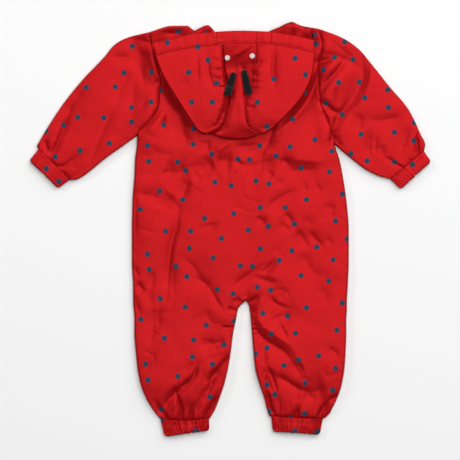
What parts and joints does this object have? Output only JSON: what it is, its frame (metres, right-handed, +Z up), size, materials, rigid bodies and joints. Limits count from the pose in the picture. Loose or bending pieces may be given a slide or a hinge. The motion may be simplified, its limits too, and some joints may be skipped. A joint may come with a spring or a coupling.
{
  "type": "child's hooded puddle suit, laid face down",
  "caption": "Hooded one-piece rain suit for a small child, laid flat on its front, with gathered wrist and ankle bands and a padded hood folded over the back.",
  "frame": {"origin": "on the surface that the suit lies on, under the middle of its outline", "axes": "+Z up through the suit's back, +Y towards the hood, +X towards the wearer's right hand"},
  "size_m": [0.6625, 0.6807, 0.0299],
  "materials": {
    "shell_cloth": "satin nylon with small dark blue dots",
    "zip_tape": "woven tape",
    "black_felt": "matt",
    "pale_print": "matt print",
    "slider_metal": "satin"
  },
  "bodies": {
    "root": {"back": "shell_cloth", "front_left": "shell_cloth", "front_right": "shell_cloth", "front_zip": "zip_tape", "zip_slider": "slider_metal", "sleeve_left": "shell_cloth", "sleeve_right": "shell_cloth", "wrist_band_left": "shell_cloth", "wrist_band_right": "shell_cloth", "ankle_band_left": "shell_cloth", "ankle_band_right": "shell_cloth", "hood_side_left": "shell_cloth", "hood_side_right": "shell_cloth", "hood_centre": "shell_cloth", "hood_casing": "shell_cloth", "hood_fold": "shell_cloth", "feeler_left": "black_felt", "feeler_right": "black_felt", "hood_spot_left": "pale_print", "hood_spot_right": "pale_print"}
  },
  "joints": []
}
